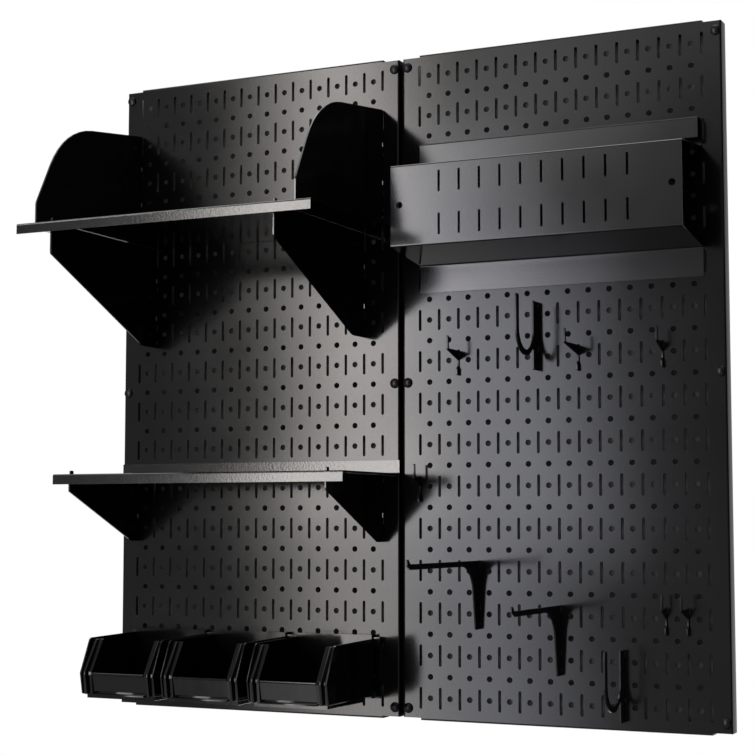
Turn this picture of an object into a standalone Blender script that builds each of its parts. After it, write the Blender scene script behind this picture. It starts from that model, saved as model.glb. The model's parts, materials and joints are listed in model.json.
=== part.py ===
"""Wall-hung organiser of two slotted steel panels, with shelves, bins, a tool holder and hooks.

The frame: +X to the right, +Y into the wall, +Z up. The origin is on the wall's face, at the
middle of the joint between the two panels. Sizes are in inches, because the panels are made on a
one inch grid, and `metres` turns a position into Blender's metres. `out` is the distance in
front of the panels' face.
"""

import math

import bmesh
import bpy
from mathutils import Matrix, Vector

INCH = 0.0254
GAP = 0.012  # clearance between pieces that touch
MODEL = "slotted_panel_organiser"

# Panels
PANEL_INNER, PANEL_OUTER = 0.1, 15.9
PANEL_HALF_HEIGHT = 16.05
CORNER_HALF_HEIGHT = 15.94
CORNER_WIDTH = 0.9
PAN_DEPTH = 0.75
SHEET = 0.048
LIP_HEIGHT = 0.5
SLOT_LENGTH, SLOT_WIDTH = 1.0, 0.11
SCREW_COLUMNS = (0.35, 15.65)
SCREW_ROWS = (-15.5, 0.0, 15.5)
SCREW_HOLE_RADIUS = 0.11

# Wall screws
HEAD_RADIUS, HEAD_HEIGHT = 0.25, 0.13
SHANK_RADIUS = 0.082
SCREW_STEPS = 16

# Pieces that hang in the slots
PLATE = 0.08
FINGER = 0.16
TAB_ABOVE, TAB_BELOW = 0.2, 0.5
FINGER_BELOW = 0.7
PEG_BELOW = 0.4
RELIEF_DEPTH, RELIEF_HALF_HEIGHT = 0.1, 0.11
BEND_RADIUS = 0.07
BEND_STEPS = 3
ARC_STEPS = 8

# Shelves
DECK_ENDS = (-15.9, -0.08)
UPSTAND = 0.65
DECK_LIP = 0.5
UPPER_DECK_TOP, UPPER_DECK_REACH = 7.5, 9.4
UPPER_SUPPORT_COLUMNS = {"left": -14, "right": -2}
END_PLATE_COLUMNS = {"left": -15, "right": -1}
UPPER_SUPPORT_SLOTS = (3, 5)
UPPER_SUPPORT_RELIEFS = (3.85, 5.8)
END_PLATE_SLOTS = (9, 11)
END_PLATE_RELIEFS = (9.9, 11.8)
MIDDLE_DECK_TOP, MIDDLE_DECK_REACH = -4.37, 6.2
MIDDLE_BRACKET_COLUMNS = {"left": -15, "right": -1}
MIDDLE_BRACKET_SLOTS = (-7, -5)
MIDDLE_BRACKET_RELIEFS = (-6.38,)
TIP_WIDTH, TIP_RISE = 0.25, 0.17
TIP_INSET = 0.42
TIP_CLEARANCE = 0.02
UPPER_SUPPORT_FOOT, UPPER_SUPPORT_FRONT_FOOT, UPPER_SUPPORT_BEND = 2.3, 5.95, 1.3
END_PLATE_TOP, END_PLATE_BROW, END_PLATE_CHEEK = 13.54, (6.94, 12.59), (9.12, 8.5)
BRACKET_FOOT, BRACKET_FRONT_FOOT, BRACKET_BEND = -7.66, -5.22, 0.62

# Bins and their rail
RAIL_ENDS = (-15.0, -1.0)
RAIL_COLUMNS = (-14, -8, -2)
RAIL_SLOT = -13
RAIL_TOP, RAIL_FOOT, RAIL_REACH = -12.2, -14.0, 0.324
RAIL_JOG = (0.42, 0.55)  # where the lip's bends lie below its top
BIN_CENTRES = {"left": -12.71, "centre": -8.12, "right": -3.42}
BIN_HALF_WIDTH, BIN_WALL = 2.12, 0.09
BIN_BACK, BIN_RIM, BIN_RIM_OUT = 0.36, -12.3, 4.6
BIN_NOSE_OUT, BIN_NOSE_Z = 5.4, -14.0
BIN_TOE_OUT, BIN_TOE_Z, BIN_LEDGE_Z = 5.12, -15.06, -15.0
BIN_FOOT, BIN_FOOT_OUTS = -15.24, (0.95, 4.85)
BIN_HEEL_OUT, BIN_HEEL_Z = 1.25, -14.98
BIN_FRAME, BIN_MOUTH_HALF_WIDTH = 0.3, 1.78
BIN_FRONT_OUT, BIN_FRONT_HALF_WIDTH = 5.06, 1.46
BIN_HOOK_HALF_WIDTH = 2.0
BIN_HOOK_TOP, BIN_HOOK_TIP, BIN_HOOK_BACK = -12.08, -12.5, 0.11

# Tool holder, one bent sheet
HOLDER_ENDS = (1.05, 14.95)
HOLDER_REACH = 3.5
HOLDER_TOP, HOLDER_LIP_FOOT, HOLDER_FOOT = 11.45, 10.5, 4.3
HOLDER_BOX_TOPS, HOLDER_BOX_FEET = (10.2, 9.89), (5.65, 6.05)  # at the panels and at the front
HOLDER_LIP_TRIM = 0.27  # how far the top flange stops short of the left end
HOLDER_COLUMNS = (2, 14)
HOLDER_SLOTS = (5, 11)
HOLDER_SLOT_COLUMNS = [3.5 + step for step in range(10)]
HOLDER_SLOT_ROWS = (7.0, 9.0)
HOLDER_HOLE_RADIUS = 0.16
HOLDER_HOLES = ((1.5, 8.0), (14.5, 8.0))

# Hooks: column, the slot or the lower and upper slots that hold each, and its reach
SMALL_HOOKS = (
    (3, 1, 1.4), (9, 1, 2.0), (13, 1, 1.05), (1, -5, 0.8), (13, -11, 0.8), (14, -11, 1.25),
)
SMALL_HOOK_TIP = 0.16
SMALL_HOOK_TOP, SMALL_HOOK_RISE, SMALL_HOOK_FOOT = 0.45, 0.6, 0.74
SMALL_HOOK_NECK, SMALL_HOOK_HEEL = 0.08, 0.25
U_HOOKS = ((7, 1, 3), (11, -15, -13))
U_STRAP, U_INNER, U_OUTER = 0.62, 2.52, 2.88
U_STRAP_RISE, U_PRONG_RISE, U_SEAT_RISE, U_STRAP_DROP = 0.56, 0.66, 0.19, 0.66
ARM_HOOKS = ((4, -11, -9, 8.25), (8, -13, -11, 6.3))
ARM_TOP, ARM_DEPTH, ARM_TIP_RISE, ARM_FOOT = 0.5, 0.25, 0.2, 0.7
GUSSET_OUT, GUSSET_HEEL = 0.95, 0.5

PAINT = (0.012, 0.012, 0.013, 1.0)
PLASTIC = (0.010, 0.010, 0.011, 1.0)
SCREW_STEEL = (0.02, 0.02, 0.022, 1.0)


def metres(x, out, z):
    return Vector((x, -PAN_DEPTH - out, z)) * INCH


def material(name, colour, roughness, metallic):
    made = bpy.data.materials.new(name)
    made.use_nodes = True
    shader = made.node_tree.nodes["Principled BSDF"]
    shader.inputs["Base Color"].default_value = colour
    shader.inputs["Roughness"].default_value = roughness
    shader.inputs["Metallic"].default_value = metallic
    made.diffuse_color = colour
    return made


def clear_scene():
    for obj in list(bpy.data.objects):
        bpy.data.objects.remove(obj)


def new_collection(name):
    made = bpy.data.collections.new(name)
    bpy.context.scene.collection.children.link(made)
    return made


def add_object(name, data, finish=None):
    """A new object in the model, or among the cutters when it has no finish."""
    obj = bpy.data.objects.new(name, data)
    if finish:
        if not data.materials:
            data.materials.append(finish)
        MODEL_PARTS.objects.link(obj)
    else:
        CUTTERS.objects.link(obj)
        obj.hide_render = True
        obj.display_type = "WIRE"
    return obj


def filleted(corners, steps=ARC_STEPS):
    """The closed outline through corners (a, b, radius), with an arc at each that has a radius."""
    outline = []
    for index, (a, b, radius) in enumerate(corners):
        here = Vector((a, b))
        if not radius:
            outline.append(here)
            continue
        before = (Vector(corners[index - 1][:2]) - here).normalized()
        after = (Vector(corners[(index + 1) % len(corners)][:2]) - here).normalized()
        half = before.angle(after) / 2
        centre = here + (before + after).normalized() * radius / math.sin(half)
        first = here + before * radius / math.tan(half) - centre
        last = here + after * radius / math.tan(half) - centre
        turn = math.atan2(first.x * last.y - first.y * last.x, first.dot(last))
        for step in range(steps + 1):
            outline.append(centre + Matrix.Rotation(turn * step / steps, 2) @ first)
    return outline


def bent_sheet(path, thickness=SHEET):
    """The outline of a sheet folded along an open path of (out, z) points on its mid-surface."""
    inner = filleted([(a, b, BEND_RADIUS) for a, b in path], BEND_STEPS)
    line = [Vector(path[0])] + inner[BEND_STEPS + 1 : -BEND_STEPS - 1] + [Vector(path[-1])]
    left, right = [], []
    for index, here in enumerate(line):
        before = (here - line[max(index - 1, 0)]).normalized()
        after = (line[min(index + 1, len(line) - 1)] - here).normalized()
        along = (before + after).normalized()
        stretch = max(along.dot(after), along.dot(before))
        side = Vector((-along.y, along.x)) * thickness / 2 / stretch
        left.append(here + side)
        right.append(here - side)
    return left + right[::-1]


def extruded(name, outline, width, x, finish=None):
    """A solid of the (out, z) outline, `width` across in X and centred on x."""
    curve = bpy.data.curves.new(name, "CURVE")
    curve.dimensions = "2D"
    curve.fill_mode = "BOTH"
    curve.extrude = width / 2 * INCH
    spline = curve.splines.new("POLY")
    spline.points.add(len(outline) - 1)
    for point, (out, z) in zip(spline.points, outline):
        point.co = (out * INCH, z * INCH, 0, 1)
    spline.use_cyclic_u = True
    guide = bpy.data.objects.new(name + "_outline", curve)
    bpy.context.scene.collection.objects.link(guide)
    graph = bpy.context.evaluated_depsgraph_get()
    mesh = bpy.data.meshes.new_from_object(guide.evaluated_get(graph))
    bpy.data.objects.remove(guide)
    bpy.data.curves.remove(curve)
    work = bmesh.new()
    work.from_mesh(mesh)
    bmesh.ops.remove_doubles(work, verts=work.verts, dist=1e-6)
    bmesh.ops.recalc_face_normals(work, faces=work.faces)
    work.to_mesh(mesh)
    work.free()
    mesh.name = name
    obj = add_object(name, mesh, finish)
    # The outline's two axes lie along -Y and +Z, so its normal lies along -X.
    turn = Matrix(((0, 0, -1), (-1, 0, 0), (0, 1, 0))).to_4x4()
    obj.matrix_world = Matrix.Translation(metres(x, 0, 0)) @ turn
    return obj


def boxes(name, ranges, holes=(), hole_outs=(0, 0), finish=None):
    """Boxes of (x, out, z) ranges in one mesh, with round bars along Y at holes (x, z, radius)."""
    work = bmesh.new()
    for x, out, z in ranges:
        low, high = metres(x[0], out[1], z[0]), metres(x[1], out[0], z[1])
        place = Matrix.Translation((low + high) / 2) @ Matrix.Diagonal((*(high - low), 1))
        bmesh.ops.create_cube(work, size=1, matrix=place)
    for x, z, radius in holes:
        middle = metres(x, sum(hole_outs) / 2, z)
        place = Matrix.Translation(middle) @ Matrix.Rotation(math.pi / 2, 4, "X")
        length = (hole_outs[1] - hole_outs[0]) * INCH
        bmesh.ops.create_cone(
            work, cap_ends=True, segments=16, depth=length, matrix=place,
            radius1=radius * INCH, radius2=radius * INCH,
        )
    mesh = bpy.data.meshes.new(name)
    work.to_mesh(mesh)
    work.free()
    return add_object(name, mesh, finish)


def combine(obj, other, operation="DIFFERENCE"):
    modifier = obj.modifiers.new(other.name, "BOOLEAN")
    modifier.operation = operation
    modifier.solver = "EXACT"
    modifier.object = other


def hook_tab(slot):
    """Back edge, going up, of a tab that enters a slot and drops behind the sheet."""
    behind = -SHEET - GAP
    rest = slot - TAB_BELOW + GAP
    return [
        (GAP, rest, 0), (behind, rest, 0), (behind, slot - FINGER_BELOW, 0),
        (behind - FINGER, slot - FINGER_BELOW, 0), (behind - FINGER, slot + TAB_ABOVE, 0),
        (GAP, slot + TAB_ABOVE, 0),
    ]


def peg_tab(slot):
    """Back edge, going up, of a straight tab that only keeps the plate from swinging."""
    deep = -SHEET - GAP - FINGER
    low, high = slot - PEG_BELOW, slot + TAB_ABOVE
    return [(GAP, low, 0), (deep, low, 0), (deep, high, 0), (GAP, high, 0)]


def relief(z):
    """Back edge, going up, of a small notch that clears the rim of a slot."""
    low, high = z - RELIEF_HALF_HEIGHT, z + RELIEF_HALF_HEIGHT
    deep = GAP + RELIEF_DEPTH
    return [(GAP, low, 0), (deep, low, 0), (deep, high, 0), (GAP, high, 0)]


def hanging_plate(name, front, slots, x, finish, reliefs=()):
    """A flat plate: `front` goes from the top of the back edge round to its foot."""
    back = [(slots[-1], hook_tab(slots[-1]))]
    if len(slots) == 2:
        back.append((slots[0], peg_tab(slots[0])))
    back += [(z, relief(z)) for z in reliefs]
    corners = list(front)
    for _, edge in sorted(back):
        corners += edge
    return extruded(name, filleted(corners), PLATE, x, finish)


def hang_from_slots(obj, columns, slots):
    """Joins lanced tabs to a sheet that lies on the panels' face."""
    for column in columns:
        for slot in slots:
            corners = hook_tab(slot)
            root = GAP + SHEET / 2
            edge = [(root if out == GAP else out, z) for out, z, _ in corners]
            tab = extruded(f"{obj.name}_tab_{column}_{slot}", edge, PLATE, column)
            combine(obj, tab, "UNION")


def used_slots():
    """Every (column, slot) of the panels that a tab enters."""
    places = [(x, z) for x in UPPER_SUPPORT_COLUMNS.values() for z in UPPER_SUPPORT_SLOTS]
    places += [(x, z) for x in END_PLATE_COLUMNS.values() for z in END_PLATE_SLOTS]
    places += [(x, z) for x in MIDDLE_BRACKET_COLUMNS.values() for z in MIDDLE_BRACKET_SLOTS]
    places += [(x, RAIL_SLOT) for x in RAIL_COLUMNS]
    places += [(x, z) for x in HOLDER_COLUMNS for z in HOLDER_SLOTS]
    places += [(column, slot) for column, slot, _ in SMALL_HOOKS]
    places += [(hook[0], slot) for hook in U_HOOKS + ARM_HOOKS for slot in hook[1:3]]
    return places


def make_panel(name, side, finish):
    """A pan: a face with flanges back to the wall, and lips at its top and bottom flanges."""
    def across(a, b):
        return sorted((side * a, side * b))

    back = -PAN_DEPTH
    tall = (-PANEL_HALF_HEIGHT, PANEL_HALF_HEIGHT)
    panel = boxes(name, [(across(PANEL_INNER, PANEL_OUTER), (back, 0), tall)], finish=finish)

    inside, mouth = PANEL_HALF_HEIGHT - SHEET, PANEL_HALF_HEIGHT - LIP_HEIGHT
    hollow = [
        (-SHEET, -inside), (-SHEET, inside), (back + SHEET, inside), (back + SHEET, mouth),
        (back - 1, mouth), (back - 1, -mouth), (back + SHEET, -mouth), (back + SHEET, -inside),
    ]
    width = PANEL_OUTER - PANEL_INNER - 2 * SHEET
    middle = side * (PANEL_INNER + PANEL_OUTER) / 2
    combine(panel, extruded(name + "_hollow", hollow, width, middle))

    edges = (
        (PANEL_INNER - 1, PANEL_INNER + CORNER_WIDTH),
        (PANEL_OUTER - CORNER_WIDTH, PANEL_OUTER + 1),
    )
    corners, lips = [], []
    for end in (-1, 1):
        for edge in edges:
            z = sorted((end * CORNER_HALF_HEIGHT, end * (CORNER_HALF_HEIGHT + 1)))
            corners.append((across(*edge), (back - 1, 1), z))
        z = sorted((end * (mouth - 0.2), end * (CORNER_HALF_HEIGHT + 0.05)))
        for a, b in ((PANEL_INNER + SHEET, edges[0][1]), (edges[1][0], PANEL_OUTER - SHEET)):
            lips.append((across(a, b), (back - 1, back + 2 * SHEET), z))
    combine(panel, boxes(name + "_corners", corners))
    combine(panel, boxes(name + "_lip_ends", lips))

    wide = SLOT_WIDTH / 2
    slots = [
        ((x - wide, x + wide), (-SHEET - 0.1, 0.1), (z - SLOT_LENGTH / 2, z + SLOT_LENGTH / 2))
        for x, z in used_slots()
        if x * side > 0
    ]
    holes = [(side * x, z, SCREW_HOLE_RADIUS) for x in SCREW_COLUMNS for z in SCREW_ROWS]
    combine(panel, boxes(name + "_holes", slots, holes, (-SHEET - 0.1, 0.1)))
    return panel


def make_screws(finish):
    """Pan-headed screws, turned about their own axis, which points out of the wall."""
    profile = [
        (0, HEAD_HEIGHT), (0.6 * HEAD_RADIUS, 0.9 * HEAD_HEIGHT),
        (0.92 * HEAD_RADIUS, 0.5 * HEAD_HEIGHT), (HEAD_RADIUS, GAP), (SHANK_RADIUS, GAP),
        (SHANK_RADIUS, 0.1 - PAN_DEPTH), (0, GAP - PAN_DEPTH),
    ]
    mesh = bpy.data.meshes.new("wall_screw")
    points = [(radius * INCH, 0, height * INCH) for radius, height in profile]
    mesh.from_pydata(points, [(i, i + 1) for i in range(len(points) - 1)], [])
    mesh.materials.append(finish)
    for side, panel in ((-1, "left"), (1, "right")):
        for column, place in zip(SCREW_COLUMNS, ("inner", "outer")):
            for row, height in zip(SCREW_ROWS, ("bottom", "middle", "top")):
                screw = add_object(f"screw_{panel}_{place}_{height}", mesh, finish)
                screw.location = metres(side * column, 0, row)
                screw.rotation_euler = (math.pi / 2, 0, 0)
                turn = screw.modifiers.new("turn", "SCREW")
                turn.steps = turn.render_steps = SCREW_STEPS
                turn.use_merge_vertices = True
                turn.merge_threshold = 1e-5


def make_deck(name, top, reach, tips, finish):
    """A shelf deck with an upstand at the panels and a lip along its front."""
    half = SHEET / 2
    path = [
        (GAP + half, top + UPSTAND), (GAP + half, top - half),
        (reach - half, top - half), (reach - half, top - DECK_LIP),
    ]
    left, right = DECK_ENDS
    deck = extruded(name, bent_sheet(path), right - left, (left + right) / 2, finish)
    tip = reach - TIP_INSET
    wide = PLATE / 2 + TIP_CLEARANCE
    cuts = [
        (
            (x - wide, x + wide),
            (tip - 2 * TIP_CLEARANCE, tip + TIP_WIDTH + 2 * TIP_CLEARANCE),
            (top - 4 * SHEET, top + 4 * SHEET),
        )
        for x in tips
    ]
    combine(deck, boxes(name + "_tip_slots", cuts))
    return deck


def deck_tip(top, reach):
    """Front top corner of a support, with the tip that locks into the deck's slot."""
    under = top - SHEET - GAP
    start = reach - TIP_INSET
    return [
        (start, under, 0), (start, top + TIP_RISE, 0.05),
        (start + TIP_WIDTH, top + TIP_RISE, 0.05), (start + TIP_WIDTH, under, 0),
    ]


def make_upper_shelf(finish):
    top, reach = UPPER_DECK_TOP, UPPER_DECK_REACH
    make_deck("upper_shelf_deck", top, reach, UPPER_SUPPORT_COLUMNS.values(), finish)
    under = top - SHEET - GAP
    front = reach - SHEET - 0.08
    support = [(GAP, under, 0)] + deck_tip(top, reach) + [
        (front, under, 0), (front, UPPER_SUPPORT_FRONT_FOOT, 0.15),
        (UPPER_SUPPORT_BEND, UPPER_SUPPORT_FOOT, 1.0), (GAP, UPPER_SUPPORT_FOOT, 0),
    ]
    for side, column in UPPER_SUPPORT_COLUMNS.items():
        hanging_plate(
            f"upper_support_{side}", support, UPPER_SUPPORT_SLOTS, column, finish,
            UPPER_SUPPORT_RELIEFS,
        )
    foot = top + GAP
    behind, above = 2 * GAP + SHEET + 0.02, top + UPSTAND + 0.05
    end_plate = [
        (GAP, END_PLATE_TOP, 0.12), (*END_PLATE_BROW, 4.55), (*END_PLATE_CHEEK, 0.3),
        (END_PLATE_CHEEK[0], foot, 0), (behind, foot, 0), (behind, above, 0), (GAP, above, 0),
    ]
    for side, column in END_PLATE_COLUMNS.items():
        hanging_plate(
            f"shelf_end_plate_{side}", end_plate, END_PLATE_SLOTS, column, finish,
            END_PLATE_RELIEFS,
        )


def make_middle_shelf(finish):
    top, reach = MIDDLE_DECK_TOP, MIDDLE_DECK_REACH
    make_deck("middle_shelf_deck", top, reach, MIDDLE_BRACKET_COLUMNS.values(), finish)
    under = top - SHEET - GAP
    front = reach - SHEET - 0.05
    bracket = [(GAP, under, 0)] + deck_tip(top, reach) + [
        (front, under, 0), (front, BRACKET_FRONT_FOOT, 0.1),
        (BRACKET_BEND, BRACKET_FOOT, 0.3), (GAP, BRACKET_FOOT, 0),
    ]
    for side, column in MIDDLE_BRACKET_COLUMNS.items():
        hanging_plate(
            f"middle_bracket_{side}", bracket, MIDDLE_BRACKET_SLOTS, column, finish,
            MIDDLE_BRACKET_RELIEFS,
        )


def make_rail(finish):
    """The bins' rail: a strip on the panel whose upper edge stands off it as a lip."""
    half = SHEET / 2
    lip = RAIL_REACH - half
    path = [
        (GAP + half, RAIL_FOOT), (GAP + half, RAIL_TOP - RAIL_JOG[1]),
        (lip, RAIL_TOP - RAIL_JOG[0]), (lip, RAIL_TOP),
    ]
    left, right = RAIL_ENDS
    rail = extruded("bin_rail", bent_sheet(path), right - left, (left + right) / 2, finish)
    hang_from_slots(rail, RAIL_COLUMNS, (RAIL_SLOT,))


def make_bin(name, x, finish):
    """An open-fronted bin on a raised foot, whose rear lip hooks over the rail."""
    shell = filleted([
        (BIN_BACK, BIN_RIM, 0), (BIN_RIM_OUT, BIN_RIM, 0), (BIN_NOSE_OUT, BIN_NOSE_Z, 0),
        (BIN_TOE_OUT, BIN_TOE_Z, 0), (BIN_FOOT_OUTS[1], BIN_TOE_Z, 0),
        (BIN_FOOT_OUTS[1], BIN_FOOT, 0.05), (BIN_FOOT_OUTS[0], BIN_FOOT, 0.05),
        (BIN_HEEL_OUT, BIN_HEEL_Z, 0), (BIN_BACK, BIN_HEEL_Z, 0.1),
    ])
    tub = extruded(name, shell, 2 * BIN_HALF_WIDTH, x, finish)
    wall, rear, front = BIN_WALL, BIN_BACK + BIN_WALL, BIN_FRONT_OUT - BIN_WALL
    well = BIN_FOOT_OUTS[1] - wall
    inside = [
        (rear, BIN_RIM + 1), (BIN_RIM_OUT - BIN_FRAME, BIN_RIM + 1),
        (BIN_RIM_OUT - BIN_FRAME, BIN_RIM), (front, BIN_NOSE_Z),
        (front, BIN_LEDGE_Z + wall), (well, BIN_LEDGE_Z + wall), (well, BIN_FOOT + wall),
        (BIN_HEEL_OUT + wall, BIN_FOOT + wall), (BIN_HEEL_OUT + wall, BIN_HEEL_Z + wall),
        (rear, BIN_HEEL_Z + wall),
    ]
    combine(tub, extruded(name + "_inside", inside, 2 * (BIN_HALF_WIDTH - wall), x))
    mouth = [
        (BIN_BACK + 2, BIN_RIM + 2), (BIN_NOSE_OUT + 1, BIN_RIM + 2),
        (BIN_NOSE_OUT + 1, BIN_NOSE_Z), (BIN_BACK + 2, BIN_NOSE_Z),
    ]
    combine(tub, extruded(name + "_mouth", mouth, 2 * BIN_MOUTH_HALF_WIDTH, x))
    panel = [
        (BIN_FRONT_OUT, BIN_LEDGE_Z), (BIN_NOSE_OUT + 1, BIN_LEDGE_Z),
        (BIN_NOSE_OUT + 1, BIN_NOSE_Z + 1), (BIN_FRONT_OUT, BIN_NOSE_Z + 1),
    ]
    combine(tub, extruded(name + "_panel", panel, 2 * BIN_FRONT_HALF_WIDTH, x))
    inner, outer = BIN_BACK + 0.01, rear - 0.01
    under = BIN_HOOK_TOP - wall - 0.01
    hook = [
        (outer, BIN_HOOK_TIP), (outer, BIN_HOOK_TOP), (BIN_HOOK_BACK, BIN_HOOK_TOP),
        (BIN_HOOK_BACK, BIN_HOOK_TIP), (BIN_HOOK_BACK + wall, BIN_HOOK_TIP),
        (BIN_HOOK_BACK + wall, under), (inner, under), (inner, BIN_HOOK_TIP),
    ]
    combine(tub, extruded(name + "_hook", hook, 2 * BIN_HOOK_HALF_WIDTH, x), "UNION")


def make_tool_holder(finish):
    """A slotted box section open at both ends, bent with its two flanges from one sheet."""
    half = SHEET / 2
    back, front = GAP + half, HOLDER_REACH - half
    lip = PAN_DEPTH - half
    path = [
        (back, HOLDER_FOOT), (back, HOLDER_BOX_FEET[0]), (front, HOLDER_BOX_FEET[1] + half),
        (front, HOLDER_BOX_TOPS[1] - half), (back, HOLDER_BOX_TOPS[0]),
        (back, HOLDER_TOP - half), (lip, HOLDER_TOP - half), (lip, HOLDER_LIP_FOOT),
    ]
    left, right = HOLDER_ENDS
    holder = extruded("tool_holder", bent_sheet(path), right - left, (left + right) / 2, finish)
    wide, tall = SLOT_WIDTH / 2, SLOT_LENGTH / 2
    cuts = [
        ((x - wide, x + wide), (front - 0.3, front + 0.3), (z - tall, z + tall))
        for x in HOLDER_SLOT_COLUMNS
        for z in HOLDER_SLOT_ROWS
    ]
    cuts.append((
        (left - 1, left + HOLDER_LIP_TRIM), (-0.2, PAN_DEPTH + 0.2),
        (HOLDER_BOX_TOPS[0] + 2 * BEND_RADIUS, HOLDER_TOP + 0.2),
    ))
    holes = [(x, z, HOLDER_HOLE_RADIUS) for x, z in HOLDER_HOLES]
    combine(holder, boxes("tool_holder_cuts", cuts, holes, (front - 0.3, front + 0.3)))
    hang_from_slots(holder, HOLDER_COLUMNS, HOLDER_SLOTS)


def make_small_hook(number, column, slot, reach, finish):
    """A short arm, widening to the panel, with a turned-up tip above and a heel below."""
    tip, top, foot = reach - SMALL_HOOK_TIP, slot + SMALL_HOOK_TOP, slot - SMALL_HOOK_FOOT
    peak = top + SMALL_HOOK_RISE
    front = [
        (GAP, top, 0), (tip, top, 0.06), (tip + 0.02, peak, 0.03), (reach, peak, 0.05),
        (reach, top - 0.07, 0.1), (SMALL_HOOK_NECK, slot, 0.05),
        (SMALL_HOOK_NECK, slot - 0.3, 0), (SMALL_HOOK_HEEL, slot - 0.42, 0),
        (SMALL_HOOK_HEEL, foot, 0.04), (GAP, foot, 0),
    ]
    hanging_plate(f"small_hook_{number}", front, (slot,), column, finish)


def make_u_hook(number, column, low, high, finish):
    """A prong and a strap up the panels, joined by a round bend of even width."""
    strap_top, prong_top = high + U_STRAP_RISE, high + U_PRONG_RISE
    seat, strap_foot = low + U_SEAT_RISE, low - U_STRAP_DROP
    bend = (U_INNER - U_STRAP) / 2 - 0.01
    under = seat - (U_OUTER - U_INNER) * 0.75
    front = [
        (GAP, strap_top, 0), (U_STRAP, strap_top, 0.06), (U_STRAP, seat, bend),
        (U_INNER, seat, bend), (U_INNER, prong_top, 0.12), (U_OUTER, prong_top, 0.15),
        (U_OUTER, under, bend + 0.25), (U_STRAP + bend * 0.7, under, 0.6),
        (U_STRAP, under + 0.42, 0), (U_STRAP, strap_foot, 0.05), (GAP, strap_foot, 0),
    ]
    hanging_plate(f"u_hook_{number}", front, (low, high), column, finish)


def make_arm_hook(number, column, low, high, reach, finish):
    """A slender arm with a short turned-up tip, on a curved gusset that narrows to a foot."""
    top, foot = high + ARM_TOP, low - ARM_FOOT
    under, peak = top - ARM_DEPTH, top + ARM_TIP_RISE
    front = [
        (GAP, top, 0), (reach - 0.34, top, 0.08), (reach - 0.16, peak, 0.03),
        (reach, peak - 0.04, 0.04), (reach - 0.02, top - 0.1, 0.06), (reach - 0.32, under, 0.08),
        (GUSSET_OUT, under, 1.3), (GUSSET_HEEL, foot, 0.08), (GAP, foot, 0),
    ]
    hanging_plate(f"arm_hook_{number}", front, (low, high), column, finish)


def main():
    paint = material("black_powder_coat", PAINT, 0.35, 0.0)
    plastic = material("black_plastic", PLASTIC, 0.25, 0.0)
    steel = material("black_screw_steel", SCREW_STEEL, 0.3, 1.0)
    make_panel("panel_left", -1, paint)
    make_panel("panel_right", 1, paint)
    make_screws(steel)
    make_upper_shelf(paint)
    make_middle_shelf(paint)
    make_rail(paint)
    for side, x in BIN_CENTRES.items():
        make_bin(f"bin_{side}", x, plastic)
    make_tool_holder(paint)
    for number, (column, slot, reach) in enumerate(SMALL_HOOKS, 1):
        make_small_hook(number, column, slot, reach, paint)
    for number, (column, low, high) in enumerate(U_HOOKS, 1):
        make_u_hook(number, column, low, high, paint)
    for number, (column, low, high, reach) in enumerate(ARM_HOOKS, 1):
        make_arm_hook(number, column, low, high, reach, paint)


clear_scene()
MODEL_PARTS = new_collection(MODEL)
CUTTERS = new_collection("cutters")
main()
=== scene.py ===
"""Looks of the slotted-panel wall organiser: punched panels, bent sheet pieces, moulded bins and light."""

import contextlib
import json
import math

import bmesh
import bpy
from mathutils import Matrix, Vector


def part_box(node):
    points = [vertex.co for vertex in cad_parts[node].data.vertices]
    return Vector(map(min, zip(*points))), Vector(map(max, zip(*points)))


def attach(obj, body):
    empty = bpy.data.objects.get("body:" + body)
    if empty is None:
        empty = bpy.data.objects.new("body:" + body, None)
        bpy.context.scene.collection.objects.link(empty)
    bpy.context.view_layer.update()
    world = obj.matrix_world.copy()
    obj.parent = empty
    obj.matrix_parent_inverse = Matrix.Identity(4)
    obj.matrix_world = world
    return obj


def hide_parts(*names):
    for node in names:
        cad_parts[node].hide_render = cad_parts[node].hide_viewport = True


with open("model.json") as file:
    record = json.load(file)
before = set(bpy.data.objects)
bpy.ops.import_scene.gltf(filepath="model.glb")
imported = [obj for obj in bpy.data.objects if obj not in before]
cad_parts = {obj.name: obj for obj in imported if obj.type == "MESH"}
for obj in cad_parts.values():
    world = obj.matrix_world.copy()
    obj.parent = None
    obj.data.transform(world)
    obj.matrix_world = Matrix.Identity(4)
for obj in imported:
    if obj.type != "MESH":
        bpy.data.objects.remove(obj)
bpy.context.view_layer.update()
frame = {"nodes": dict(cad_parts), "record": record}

INCH = 0.0254  # metres; lengths below are inches unless a line says otherwise
PAN_DEPTH = 0.75  # the panels' face stands this far off the wall
SHEET = 0.048
FACE_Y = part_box("panel_left")[0].y  # metres


def metres(x, out, z):
    """A place in the frame, from inches across, out from the panels' face, and up."""
    return Vector((x * INCH, FACE_Y - out * INCH, z * INCH))


# ---------------------------------------------------------------- materials

NOISE_SPAN = (0.3, 0.7)  # where most of a noise texture's values lie
PATCH_SCALE, DUST_SCALE, PEEL_SCALE, GRAIN_SCALE = 9, 620, 420, 2600
FLOW_SCALE, SCUFF_SCALE, RIPPLE_SCALE = 30, 160, 45
WEAR_SCALE, STEEL_GLOSS_SCALE = 900, 500


def nodes_for(name, colour, roughness, metallic=0.0):
    """A new material, its node tree and its shader."""
    made = bpy.data.materials.new(name)
    made.use_nodes = True
    shader = made.node_tree.nodes["Principled BSDF"]
    shader.inputs["Base Color"].default_value = (*colour, 1)
    shader.inputs["Roughness"].default_value = roughness
    shader.inputs["Metallic"].default_value = metallic
    return made, made.node_tree, shader


def object_place(tree):
    return tree.nodes.new("ShaderNodeTexCoord").outputs["Object"]


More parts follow.
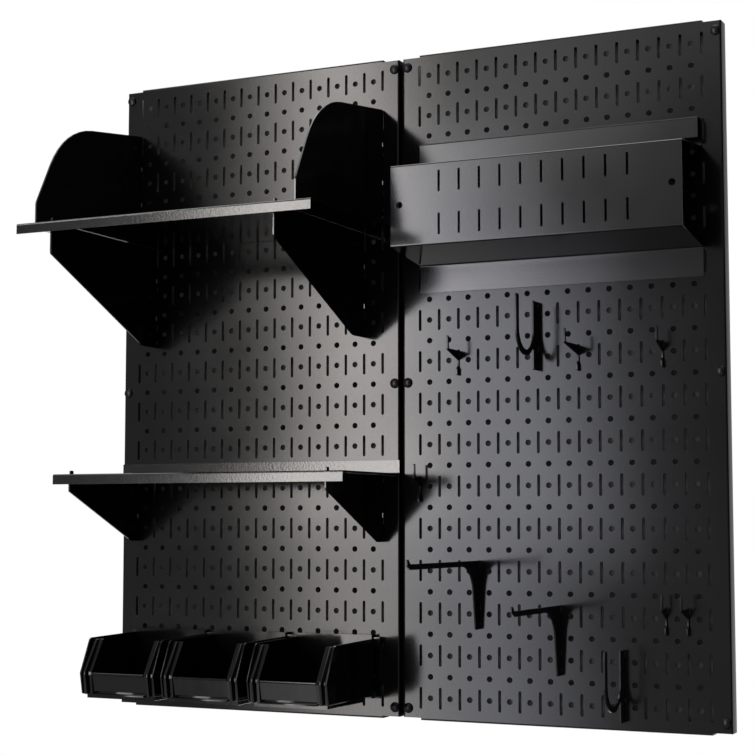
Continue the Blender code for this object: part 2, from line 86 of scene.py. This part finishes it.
def noise(tree, place, scale, detail):
    node = tree.nodes.new("ShaderNodeTexNoise")
    node.inputs["Scale"].default_value = scale
    node.inputs["Detail"].default_value = detail
    tree.links.new(place, node.inputs["Vector"])
    return node.outputs["Fac"]


def remapped(tree, value, to, span=NOISE_SPAN):
    """`value` stretched so that the ends of `span` become the ends of `to`."""
    node = tree.nodes.new("ShaderNodeMapRange")
    tree.links.new(value, node.inputs["Value"])
    node.inputs["From Min"].default_value, node.inputs["From Max"].default_value = span
    node.inputs["To Min"].default_value, node.inputs["To Max"].default_value = to
    return node.outputs["Result"]


def mixed(tree, factor, first, second):
    """A colour between two, by a factor that a node gives."""
    node = tree.nodes.new("ShaderNodeMix")
    node.data_type = "RGBA"
    tree.links.new(factor, node.inputs["Factor"])
    for socket, colour in (("A", first), ("B", second)):
        target = [s for s in node.inputs if s.name == socket and s.type == "RGBA"][0]
        target.default_value = (*colour, 1)
    return [s for s in node.outputs if s.type == "RGBA"][0]


def combined(tree, operation, *values):
    """A math node over sockets and plain numbers."""
    node = tree.nodes.new("ShaderNodeMath")
    node.operation = operation
    for socket, value in zip(node.inputs, values):
        if isinstance(value, (int, float)):
            socket.default_value = value
        else:
            tree.links.new(value, socket)
    return node.outputs["Value"]


def add_bump(tree, shader, height, strength, depth):
    """Bumps of `depth` metres on the shader's surface."""
    node = tree.nodes.new("ShaderNodeBump")
    node.inputs["Strength"].default_value = strength
    node.inputs["Distance"].default_value = depth
    tree.links.new(height, node.inputs["Height"])
    tree.links.new(node.outputs["Normal"], shader.inputs["Normal"])


def dusted(colour, lift):
    """A paint's colour where dust or scuffs lie on it."""
    return tuple(channel * 2 + lift for channel in colour)


def powder_coat(name, colour, roughness, peel, grain, specular=0.5):
    """Black powder coat: orange peel, fine grain, uneven gloss and a little settled dust."""
    made, tree, shader = nodes_for(name, colour, roughness)
    shader.inputs["Specular IOR Level"].default_value = specular
    place = object_place(tree)
    patches = noise(tree, place, PATCH_SCALE, 3)
    gloss = remapped(tree, patches, (roughness * 0.88, roughness * 1.15))
    tree.links.new(gloss, shader.inputs["Roughness"])
    dust = remapped(tree, noise(tree, place, DUST_SCALE, 2), (0.0, 0.15), (0.6, 0.8))
    tree.links.new(mixed(tree, dust, colour, dusted(colour, 0.008)), shader.inputs["Base Color"])
    coarse, fine = noise(tree, place, PEEL_SCALE, 1), noise(tree, place, GRAIN_SCALE, 1)
    add_bump(tree, shader, combined(tree, "MULTIPLY_ADD", fine, grain, coarse), peel, 0.0004)
    return made


def moulded_plastic(name, colour, roughness):
    """Glossy black plastic with faint flow marks."""
    made, tree, shader = nodes_for(name, colour, roughness)
    place = object_place(tree)
    flow = noise(tree, place, FLOW_SCALE, 3)
    gloss = remapped(tree, flow, (roughness * 0.8, roughness * 1.4))
    tree.links.new(gloss, shader.inputs["Roughness"])
    scuffs = remapped(tree, noise(tree, place, SCUFF_SCALE, 4), (0.0, 0.2), (0.55, 0.8))
    tree.links.new(mixed(tree, scuffs, colour, dusted(colour, 0.004)), shader.inputs["Base Color"])
    add_bump(tree, shader, noise(tree, place, RIPPLE_SCALE, 1), 0.05, 0.002)
    return made


def screw_steel(name):
    """Black oxide steel, a little worn."""
    oxide, bare = (0.02, 0.02, 0.023), (0.09, 0.09, 0.10)
    made, tree, shader = nodes_for(name, (0.03, 0.03, 0.034), 0.3, 0.85)
    place = object_place(tree)
    worn = remapped(tree, noise(tree, place, WEAR_SCALE, 3), (0.0, 1.0), (0.5, 0.75))
    tree.links.new(mixed(tree, worn, oxide, bare), shader.inputs["Base Color"])
    gloss = remapped(tree, noise(tree, place, STEEL_GLOSS_SCALE, 2), (0.22, 0.42))
    tree.links.new(gloss, shader.inputs["Roughness"])
    return made


# Name, colour, roughness, strength of the orange peel, share of fine grain in it, specular level.
PANEL_PAINT = powder_coat("panel_paint", (0.006, 0.006, 0.006), 0.13, 0.04, 0.25)
SHELF_PAINT = powder_coat("shelf_paint", (0.006, 0.006, 0.006), 0.14, 0.2, 0.1, 0.85)
HOLDER_PAINT = powder_coat("holder_paint", (0.006, 0.006, 0.006), 0.15, 0.05, 0.2, 0.82)
HOOK_PAINT = powder_coat("hook_paint", (0.008, 0.008, 0.008), 0.18, 0.06, 0.1)
BIN_PLASTIC = moulded_plastic("bin_plastic", (0.004, 0.004, 0.0045), 0.1)
SCREW_STEEL = screw_steel("screw_steel")


# ---------------------------------------------------------------- mesh helpers

FLAT_AREA = 0.4 * INCH**2  # square metres; a face above this is flat and shaded so
WELD, CAD_WELD = 2e-6, 1e-6  # metres; points closer than this become one
BEND_STEPS = 5


def link(obj):
    bpy.context.scene.collection.objects.link(obj)
    return obj


@contextlib.contextmanager
def editing(mesh):
    """The mesh as a bmesh, written back afterwards."""
    work = bmesh.new()
    work.from_mesh(mesh)
    yield work
    work.to_mesh(mesh)
    work.free()


def mesh_of_curve(name, curve):
    """The mesh of a curve, which is used up."""
    guide = link(bpy.data.objects.new(name + "_guide", curve))
    graph = bpy.context.evaluated_depsgraph_get()
    mesh = bpy.data.meshes.new_from_object(guide.evaluated_get(graph))
    mesh.name = name
    bpy.data.objects.remove(guide)
    bpy.data.curves.remove(curve)
    return mesh


def add_spline(curve, points):
    """A straight-sided spline through points in metres."""
    spline = curve.splines.new("POLY")
    spline.points.add(len(points) - 1)
    for point, place in zip(spline.points, points):
        point.co = (*place, 1)
    return spline


def flat_sheet(name, loops, thickness, edge):
    """A mesh in the XY plane of the first loop less the others, with its cut edges rounded."""
    curve = bpy.data.curves.new(name, "CURVE")
    curve.dimensions = "2D"
    curve.fill_mode = "BOTH"
    curve.extrude = (thickness / 2 - edge) * INCH
    if edge:
        curve.bevel_depth = edge * INCH
        curve.bevel_resolution = 1
        curve.offset = -edge * INCH
    for loop in loops:
        add_spline(curve, [(a * INCH, b * INCH, 0) for a, b in loop]).use_cyclic_u = True
    mesh = mesh_of_curve(name, curve)
    with editing(mesh) as work:
        bmesh.ops.remove_doubles(work, verts=work.verts, dist=WELD)
        bmesh.ops.recalc_face_normals(work, faces=work.faces)
    return mesh


def tube_mesh(name, points, radius):
    """A round bar through (x, out, z) points, and its place."""
    curve = bpy.data.curves.new(name, "CURVE")
    curve.dimensions = "3D"
    curve.bevel_depth = radius * INCH
    curve.bevel_resolution = 3
    curve.use_fill_caps = True
    add_spline(curve, [metres(*point) for point in points])
    return mesh_of_curve(name, curve), Matrix.Identity(4)


def joined(name, parts, material):
    """One object from (mesh, matrix) parts, which are used up."""
    work = bmesh.new()
    for mesh, place in parts:
        first = len(work.verts)
        work.from_mesh(mesh)
        work.verts.ensure_lookup_table()
        bmesh.ops.transform(work, matrix=place, verts=work.verts[first:])
        bpy.data.meshes.remove(mesh)
    made = bpy.data.meshes.new(name)
    work.to_mesh(made)
    work.free()
    made.materials.append(material)
    obj = link(bpy.data.objects.new(name, made))
    smooth(obj)
    return obj


def smooth(obj, angle=35):
    """Smooth bends and rounded edges beside flat faces."""
    obj.data.shade_smooth()
    obj.data.set_sharp_from_angle(angle=math.radians(angle))
    for polygon in obj.data.polygons:
        if polygon.area > FLAT_AREA:
            polygon.use_smooth = False


def stand_in(obj, body, node):
    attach(obj, body)
    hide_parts(node)


def filleted(points, radius):
    """An open path through 2-D points, with an arc at each inner corner."""
    path = [Vector(points[0])]
    for before, here, after in zip(points, points[1:], points[2:]):
        here = Vector(here)
        to_before = (Vector(before) - here).normalized()
        to_after = (Vector(after) - here).normalized()
        half = to_before.angle(to_after) / 2
        centre = here + (to_before + to_after).normalized() * radius / math.sin(half)
        first = here + to_before * radius / math.tan(half) - centre
        last = here + to_after * radius / math.tan(half) - centre
        turn = math.atan2(first.x * last.y - first.y * last.x, first.dot(last))
        for step in range(BEND_STEPS + 1):
            path.append(centre + Matrix.Rotation(turn * step / BEND_STEPS, 2) @ first)
    path.append(Vector(points[-1]))
    return path


# ---------------------------------------------------------------- panels

INNER, OUTER = 0.1, 15.9  # a panel's sides, from the joint between the two panels
HALF_HEIGHT, CORNER_HALF_HEIGHT, CORNER_WIDTH = 16.05, 15.94, 0.9
BEND = 0.07  # outside radius
BEND_GAP = 0.001  # a profile starts this far before its first bend
LIP = 0.5
SLOT_COLUMNS, SLOT_ROWS = range(1, 16), range(-15, 16, 2)
HOLE_COLUMNS, HOLE_ROWS = range(1, 15), range(-15, 16)
HOLE_SHIFT = 0.5  # each column of holes stands this far past its column of slots
SLOT_LENGTH, SLOT_WIDTH = 1.0, 0.11
HOLE_RADIUS = 0.125
SCREW_HOLE_RADIUS = 0.11
SCREW_COLUMNS, SCREW_ROWS = (0.35, 15.65), (-15.5, 0.0, 15.5)
CUT_EDGE = 0.017  # radius that the face's cut edges are rounded to
SLOT_END_STEPS, HOLE_STEPS = 4, 14
FLAT_ON = 0.999  # a face whose normal has this much Y is part of the panel's front


def slot_loop(x, z):
    """A slot with round ends, clockwise."""
    radius, straight = SLOT_WIDTH / 2, (SLOT_LENGTH - SLOT_WIDTH) / 2
    loop = []
    for end in (1, -1):
        for step in range(SLOT_END_STEPS + 1):
            turn = end * math.pi / 2 + math.pi / 2 - math.pi * step / SLOT_END_STEPS
            loop.append((x + radius * math.cos(turn), z + end * straight + radius * math.sin(turn)))
    return loop


def hole_loop(x, z, radius):
    turns = [-2 * math.pi * step / HOLE_STEPS for step in range(HOLE_STEPS)]
    return [(x + radius * math.cos(turn), z + radius * math.sin(turn)) for turn in turns]


def face_loops():
    """The face's outline, with flange-free corners, then its slots, holes and screw holes."""
    left, right = INNER + BEND, OUTER - BEND
    step_left, step_right = INNER + CORNER_WIDTH, OUTER - CORNER_WIDTH
    high, low = HALF_HEIGHT - BEND, CORNER_HALF_HEIGHT
    outline = [
        (left, -low), (step_left, -low), (step_left, -high), (step_right, -high),
        (step_right, -low), (right, -low), (right, low), (step_right, low),
        (step_right, high), (step_left, high), (step_left, low), (left, low),
    ]
    loops = [outline]
    loops += [slot_loop(x, z) for x in SLOT_COLUMNS for z in SLOT_ROWS]
    loops += [
        hole_loop(x + HOLE_SHIFT, z, HOLE_RADIUS) for x in HOLE_COLUMNS for z in HOLE_ROWS
    ]
    loops += [hole_loop(x, z, SCREW_HOLE_RADIUS) for x in SCREW_COLUMNS for z in SCREW_ROWS]
    return loops


def bent_outline(path):
    """Outline of a sheet folded along an open path on its mid-surface, with round bends."""
    line = filleted(path, BEND - SHEET / 2)
    sides = ([], [])
    for index, here in enumerate(line):
        ahead = line[min(index + 1, len(line) - 1)] - line[max(index - 1, 0)]
        normal = Vector((-ahead.y, ahead.x)).normalized() * SHEET / 2
        sides[0].append(here + normal)
        sides[1].append(here - normal)
    return sides[1] + sides[0][::-1]


def make_panel(name, side):
    half = SHEET / 2
    # A face in the XY plane stands up facing -Y. The left panel mirrors the right one.
    stand = Matrix.Rotation(math.pi / 2, 4, "X")
    flip = Matrix.Identity(4) if side > 0 else Matrix.Diagonal((-1, 1, 1, 1))
    face = flat_sheet(name + "_face", face_loops(), SHEET, CUT_EDGE)
    parts = [(face, flip @ Matrix.Translation((0, FACE_Y + half * INCH, 0)) @ stand)]

    # Side flanges: profile in (x, depth behind the face), run along Z.
    for edge, inwards in ((INNER, 1), (OUTER, -1)):
        path = [
            (edge + inwards * (BEND + BEND_GAP), half), (edge + inwards * half, half),
            (edge + inwards * half, PAN_DEPTH),
        ]
        mesh = flat_sheet(name + "_side", [bent_outline(path)], 2 * CORNER_HALF_HEIGHT, 0)
        parts.append((mesh, flip @ Matrix.Translation((0, FACE_Y, 0))))
    # Top and bottom flanges with lips: profile in (depth, z), run along X.
    run = Matrix(((0, 0, 1, 0), (1, 0, 0, 0), (0, 1, 0, 0), (0, 0, 0, 1)))
    middle = Matrix.Translation(((INNER + OUTER) / 2 * INCH, FACE_Y, 0))
    width = OUTER - INNER - 2 * CORNER_WIDTH
    for end in (-1, 1):
        top = end * HALF_HEIGHT
        path = [
            (half, top - end * (BEND + BEND_GAP)), (half, top - end * half),
            (PAN_DEPTH - half, top - end * half), (PAN_DEPTH - half, top - end * LIP),
        ]
        mesh = flat_sheet(name + "_flange", [bent_outline(path)], width, 0)
        parts.append((mesh, flip @ middle @ run))
    panel = joined(name, parts, PANEL_PAINT)
    with editing(panel.data) as work:
        bmesh.ops.recalc_face_normals(work, faces=work.faces)
    smooth(panel)
    for polygon in panel.data.polygons:
        polygon.use_smooth = abs(polygon.normal.y) < FLAT_ON
    return panel


for side_name, side in (("left", -1), ("right", 1)):
    shown = make_panel(f"punched_panel_{side_name}", side)
    stand_in(shown, "wall_panels", f"panel_{side_name}")


# ---------------------------------------------------------------- pieces kept from the CAD

ROUNDED_EDGE = 0.012
EDGE_ANGLE, SMOOTH_ANGLE = 40, 50  # degrees
MODELLED_HERE = ("panel_powder_coat", "bin_plastic")
RECORD = frame["record"]
SLOT_OF = {part["node"]: part["material_slot"] for part in RECORD["subparts"]}
BODY_OF = {node: body for body, nodes in RECORD["behaviour"]["bodies"].items() for node in nodes}
FINISH = {
    "shelf_powder_coat": SHELF_PAINT, "hook_powder_coat": HOOK_PAINT,
    "screw_finish": SCREW_STEEL,
}


def rounded_copy(node, material):
    """A copy of a CAD node's shape, with its cut edges rounded over, in the node's stead."""
    source = frame["nodes"][node]
    piece = link(bpy.data.objects.new(node + "_piece", source.data.copy()))
    with editing(piece.data) as work:
        bmesh.ops.remove_doubles(work, verts=work.verts, dist=CAD_WELD)
        bmesh.ops.dissolve_limit(
            work, angle_limit=math.radians(1), verts=work.verts, edges=work.edges
        )
    piece.data.materials.clear()
    piece.data.materials.append(material)
    for polygon in piece.data.polygons:
        polygon.material_index = 0
    edge = piece.modifiers.new("edges", "BEVEL")
    edge.width = ROUNDED_EDGE * INCH
    edge.segments = 2
    edge.limit_method = "ANGLE"
    edge.angle_limit = math.radians(EDGE_ANGLE)
    edge.harden_normals = True
    smooth(piece, SMOOTH_ANGLE)
    stand_in(piece, BODY_OF[node], node)


for node, slot in SLOT_OF.items():
    if slot not in MODELLED_HERE:
        rounded_copy(node, HOLDER_PAINT if node == "tool_holder" else FINISH[slot])


# ---------------------------------------------------------------- bins

BIN_CENTRES = {"left": -12.71, "centre": -8.12, "right": -3.42}
BIN_HALF, BIN_WALL = 2.1, 0.08
BACK, BASE, BASE_OUT = 0.38, -14.98, 4.9  # the rear wall, and the floor's underside and reach
RIM, RIM_OUT, RIM_FALL = -12.32, 4.5, 0.08  # the rim's height at the back, its reach and its fall
NOSE, TOE = (5.36, -14.0), (5.16, -15.02)  # (out, z) of the mouth's foremost and lowest corners
SIDE_SET_BACK, SIDE_CORNER = 0.1, 0.1
RIB_INSET, RIB_WIDTH, RIB_DEPTH, RIB_CORNER = 0.32, 0.13, 0.2, 0.25
MOUTH_CORNER = 0.3
FRONT_HALF, FRONT_THICKNESS = 1.46, 0.1
FRONT_TOP, FRONT_FOOT = 5.12, 4.94  # how far out the front's face is, at its top and foot
LEDGE_HIGH, LEDGE_LOW = -14.99, -15.05  # the small ledge along the front's foot
FOOT, FOOT_BACK, FOOT_FRONT, FOOT_SLANT = -15.22, 0.97, 4.83, 0.28  # its underside and reach
HOOK_BACK, HOOK_SHEET, HOOK_TOP, HOOK_TIP = 0.12, 0.07, -12.09, -12.48  # the lip over the rail
RIM_BEAD, FRONT_BEAD = 0.055, 0.06  # radii
OUT_Z_TO_WORLD = Matrix(((0, 0, 1, 0), (-1, 0, 0, 0), (0, 1, 0, 0), (0, 0, 0, 1)))


def across_mesh(name, outline, width, x, edge=0.02):
    """A solid of an (out, z) outline, `width` across in X and centred on x, and its place."""
    place = Matrix.Translation((x * INCH, FACE_Y, 0)) @ OUT_Z_TO_WORLD
    return flat_sheet(name, [outline], width, edge), place


def band(points, radius, depth):
    """Outline of a strip along a rounded path, `depth` thick towards the panel."""
    path = filleted(points, radius)
    return path + [(out - depth, z) for out, z in reversed(path)]


def block(out, z):
    return [(out[0], z[0]), (out[0], z[1]), (out[1], z[1]), (out[1], z[0])]


def bin_flank(name, x, sign):
    """One side of a bin: its wall, the mouth's rib and frame, and the bead on the rim."""
    wall_x = x + sign * (BIN_HALF - BIN_WALL / 2)
    rib_x = x + sign * (BIN_HALF - RIB_INSET)
    mouth_x = x + sign * (BIN_HALF + FRONT_HALF) / 2
    wall = filleted([
        (BACK, BASE), (BACK, RIM), (RIM_OUT, RIM - RIM_FALL),
        (NOSE[0] - SIDE_SET_BACK, NOSE[1]), (TOE[0] - SIDE_SET_BACK, TOE[1]),
        (BASE_OUT, TOE[1]), (BACK, BASE),
    ], SIDE_CORNER)
    rib = band([(RIM_OUT - 0.12, RIM - 0.1), NOSE, TOE], RIB_CORNER, RIB_DEPTH)
    mouth = band([
        (RIM_OUT - 0.3, RIM - 0.1), (NOSE[0] - 0.2, NOSE[1]), (TOE[0] - 0.16, TOE[1]),
    ], MOUTH_CORNER, BIN_WALL)
    rim = [(wall_x, BACK, RIM), (wall_x, RIM_OUT - SIDE_CORNER, RIM - RIM_FALL)]
    return [
        across_mesh(name + "_side", wall, BIN_WALL, wall_x),
        across_mesh(name + "_rib", rib, RIB_WIDTH, rib_x, 0.03),
        across_mesh(name + "_frame", mouth, BIN_HALF - FRONT_HALF - 0.06, mouth_x, 0.015),
        tube_mesh(name + "_rim", rim, RIM_BEAD),
    ]


def bin_span(name, x):
    """What joins a bin's sides: the back, its lip, the floor, the foot and the set-back front."""
    back = block((BACK, BACK + BIN_WALL), (BASE, RIM))
    hook_front, hook_under = BACK + HOOK_SHEET, HOOK_TOP - BIN_WALL
    lip = [
        (hook_front, HOOK_TIP - 0.02), (hook_front, HOOK_TOP), (HOOK_BACK, HOOK_TOP),
        (HOOK_BACK, HOOK_TIP), (HOOK_BACK + HOOK_SHEET, HOOK_TIP),
        (HOOK_BACK + HOOK_SHEET, hook_under), (BACK, hook_under), (BACK, HOOK_TIP - 0.02),
    ]
    floor_slab = block((BACK, BASE_OUT + 0.05), (BASE, BASE + BIN_WALL))
    foot_top = BASE + 0.02
    foot = [
        (FOOT_BACK + FOOT_SLANT, foot_top), (FOOT_BACK, FOOT), (FOOT_FRONT, FOOT),
        (FOOT_FRONT, foot_top),
    ]
    front = [
        (FRONT_TOP - FRONT_THICKNESS, NOSE[1]), (FRONT_TOP, NOSE[1]),
        (FRONT_FOOT, LEDGE_HIGH + 0.11), (FRONT_FOOT + 0.04, LEDGE_HIGH + 0.03),
        (TOE[0], LEDGE_HIGH), (TOE[0], LEDGE_LOW), (FRONT_FOOT - BIN_WALL, LEDGE_LOW),
    ]
    bead = [(x + reach, FRONT_TOP, NOSE[1] - 0.04) for reach in (-FRONT_HALF, FRONT_HALF)]
    return [
        across_mesh(name + "_back", back, 2 * BIN_HALF, x),
        across_mesh(name + "_lip", lip, 2 * BIN_HALF - 0.1, x, 0.01),
        across_mesh(name + "_floor", floor_slab, 2 * BIN_HALF, x),
        across_mesh(name + "_foot", foot, 2 * BIN_HALF - 0.3, x, 0.04),
        across_mesh(name + "_front", front, 2 * FRONT_HALF + 0.1, x, 0.012),
        tube_mesh(name + "_bead", bead, FRONT_BEAD),
    ]


for side_name, centre in BIN_CENTRES.items():
    tub_name = f"moulded_bin_{side_name}"
    parts = bin_flank(tub_name, centre, -1) + bin_flank(tub_name, centre, 1)
    tub = joined(tub_name, parts + bin_span(tub_name, centre), BIN_PLASTIC)
    stand_in(tub, f"bin_{side_name}", f"bin_{side_name}")


# ---------------------------------------------------------------- stage: floor and wall

FLOOR_PLACE, FLOOR_SIZE = (0, -1.0, -1.1), (5, 5)  # metres
WALL_PLACE = (0, 0.001, 0)  # metres, just behind the panels' lips
WALL_SIZE = (31.5 * INCH, 31.8 * INCH)  # metres, a little less than the panels


def add_plane(name, place, turn, size, material):
    bpy.ops.mesh.primitive_plane_add(size=1, location=place, rotation=turn)
    plane = bpy.context.object
    plane.name = name
    plane.scale = (*size, 1)
    plane.data.materials.append(material)
    return plane


def one_sided_paint(name, colour, roughness):
    """Paint that is clear from behind, so that the panels' backs can be seen."""
    made, tree, shader = nodes_for(name, colour, roughness)
    clear = tree.nodes.new("ShaderNodeBsdfTransparent")
    facing = tree.nodes.new("ShaderNodeNewGeometry")
    either = tree.nodes.new("ShaderNodeMixShader")
    tree.links.new(facing.outputs["Backfacing"], either.inputs["Fac"])
    tree.links.new(shader.outputs["BSDF"], either.inputs[1])
    tree.links.new(clear.outputs["BSDF"], either.inputs[2])
    output = [n for n in tree.nodes if n.type == "OUTPUT_MATERIAL"][0]
    tree.links.new(either.outputs["Shader"], output.inputs["Surface"])
    return made


floor_paint, _, _ = nodes_for("floor_paint", (0.8, 0.8, 0.79), 0.7)
floor = add_plane("floor", FLOOR_PLACE, (0, 0, 0), FLOOR_SIZE, floor_paint)
floor.visible_glossy = False
floor.visible_diffuse = False

wall_paint = one_sided_paint("wall_paint", (0.4, 0.4, 0.39), 0.8)
add_plane("wall_patch", WALL_PLACE, (math.pi / 2, 0, 0), WALL_SIZE, wall_paint)


# ---------------------------------------------------------------- the room around the object

ROOM_TINT = (0.97, 0.98, 1.0, 1)
STRAIGHT_DOWN = 0.05
# The room's brightness upwards: 0 is straight down, 0.5 level and 1 straight up.
ROOM_LEVELS = ((0.22, 0.4), (0.4, 0.28), (0.55, 0.2), (0.88, 0.2), (0.94, 2.5))
# Axis, the factor at either end, and the stretch of that axis between them.
ROOM_SIDES = (
    ("X", (1.0, 0.12), (0.1, 0.5)),  # dimmer to the object's right
    ("Y", (1.0, 4.0), (0.2, 0.8)),  # brighter behind it
)


def light_room():
    """A world that is white to the camera and a graded room to everything else."""
    world = bpy.data.worlds.new("studio")
    bpy.context.scene.world = world
    world.use_nodes = True
    tree = world.node_tree
    seen = tree.nodes["Background"]
    seen.inputs["Color"].default_value = (1, 1, 1, 1)
    room = tree.nodes.new("ShaderNodeBackground")
    room.inputs["Color"].default_value = ROOM_TINT
    compass = tree.nodes.new("ShaderNodeSeparateXYZ")
    direction = tree.nodes.new("ShaderNodeTexCoord").outputs["Generated"]
    tree.links.new(direction, compass.inputs["Vector"])
    ramp = tree.nodes.new("ShaderNodeValToRGB")
    upwards = remapped(tree, compass.outputs["Z"], (0.0, 1.0), (-1.0, 1.0))
    tree.links.new(upwards, ramp.inputs["Fac"])
    stops = ramp.color_ramp.elements
    stops[0].color = (STRAIGHT_DOWN, STRAIGHT_DOWN, STRAIGHT_DOWN, 1)
    stops.remove(stops[1])
    for position, level in ROOM_LEVELS:
        stops.new(position).color = (level, level, level, 1)
    strength = ramp.outputs["Color"]
    for axis, factors, stretch in ROOM_SIDES:
        factor = remapped(tree, compass.outputs[axis], factors, stretch)
        strength = combined(tree, "MULTIPLY", strength, factor)
    tree.links.new(strength, room.inputs["Strength"])
    ray = tree.nodes.new("ShaderNodeLightPath")
    choice = tree.nodes.new("ShaderNodeMixShader")
    tree.links.new(ray.outputs["Is Camera Ray"], choice.inputs["Fac"])
    tree.links.new(room.outputs["Background"], choice.inputs[1])
    tree.links.new(seen.outputs["Background"], choice.inputs[2])
    tree.links.new(choice.outputs["Shader"], tree.nodes["World Output"].inputs["Surface"])


light_room()


# ---------------------------------------------------------------- windows and lamp

WINDOW_OUT = 118
WINDOW_LEAN = math.radians(5)
PANE_SPACING = 0.1
PANES = (-1, 0, 1)
EDGE_SOFTNESS = 5  # each window's edge fades over this much, either way
WARM, COOL, PALE = (1, 0.95, 0.91), (0.89, 0.9, 1), (1, 1, 0.98)
# Name, reach across and up, radiance and colour.
WINDOWS = (
    ("window_left", (-68.0, -54.5), (-2, 62), 10.8, WARM),
    ("window_left_low", (-66.0, -54.0), (-45, -2), 7.1, WARM),
    ("window_right", (-51.0, -30.5), (-8, 19), 4.5, COOL),
    ("window_right_high", (-51.5, -41.0), (19, 38), 4.2, COOL),
    ("window_right_low", (-51.5, -35.5), (-45, -8), 3.5, COOL),
    ("blind", (-54.0, -27.0), (38, 60), 1.3, PALE),
    ("wall_glow", (-27.0, 8.0), (47, 90), 0.7, PALE),
    ("floor_glow", (-79.0, -62.0), (-112, -60), 0.9, PALE),
)
LAMP_PLACE, LAMP_TARGET = metres(-79, 90, 69), metres(-8, 5, -13)
LAMP_SIZE, LAMP_RADIANCE = (0.8, 0.5), 4.0  # the size in metres


def area_light(name, place, target, size, radiance, colour=(1, 1, 1)):
    """A rectangular light, `size` in metres, as bright per area as its radiance says."""
    light = bpy.data.lights.new(name, "AREA")
    light.shape = "RECTANGLE"
    light.size, light.size_y = size
    light.energy = radiance * math.pi * size[0] * size[1]
    light.color = colour
    lamp = link(bpy.data.objects.new(name, light))
    lamp.location = place
    lamp.rotation_euler = (Vector(target) - Vector(place)).to_track_quat("-Z", "Y").to_euler()
    return lamp


def window(name, across, up, radiance, colour, order):
    """A window with soft edges: nested panes, one behind the other, that add up."""
    for step in PANES:
        grow = 2 * step * EDGE_SOFTNESS
        size = ((across[1] - across[0] + grow) * INCH, (up[1] - up[0] + grow) * INCH)
        out = WINDOW_OUT + PANE_SPACING * (len(PANES) * order + step)
        place = metres(sum(across) / 2, out, sum(up) / 2)
        ahead = place + Vector((0, 1, 0))
        pane = area_light(
            f"{name}_{step + 1}", place, ahead, size, radiance / len(PANES), colour
        )
        pane.rotation_euler.rotate_axis("Z", WINDOW_LEAN)


for order, values in enumerate(WINDOWS):
    window(*values, order)
area_light("ceiling_light", LAMP_PLACE, LAMP_TARGET, LAMP_SIZE, LAMP_RADIANCE)


# ---------------------------------------------------------------- camera

CAMERA_PLACE = metres(34.604, 75.699, -6.702)
CAMERA_TILT, CAMERA_TURN = 94.79, 25.361  # degrees
LENS, SENSOR = 82.3, 36  # millimetres

camera = bpy.data.cameras.new("camera")
camera.lens = LENS
camera.sensor_width = SENSOR
eye = link(bpy.data.objects.new("camera", camera))
eye.location = CAMERA_PLACE
eye.rotation_euler = (math.radians(CAMERA_TILT), 0, math.radians(CAMERA_TURN))
bpy.context.scene.camera = eye
bpy.context.scene.view_settings.view_transform = "Standard"
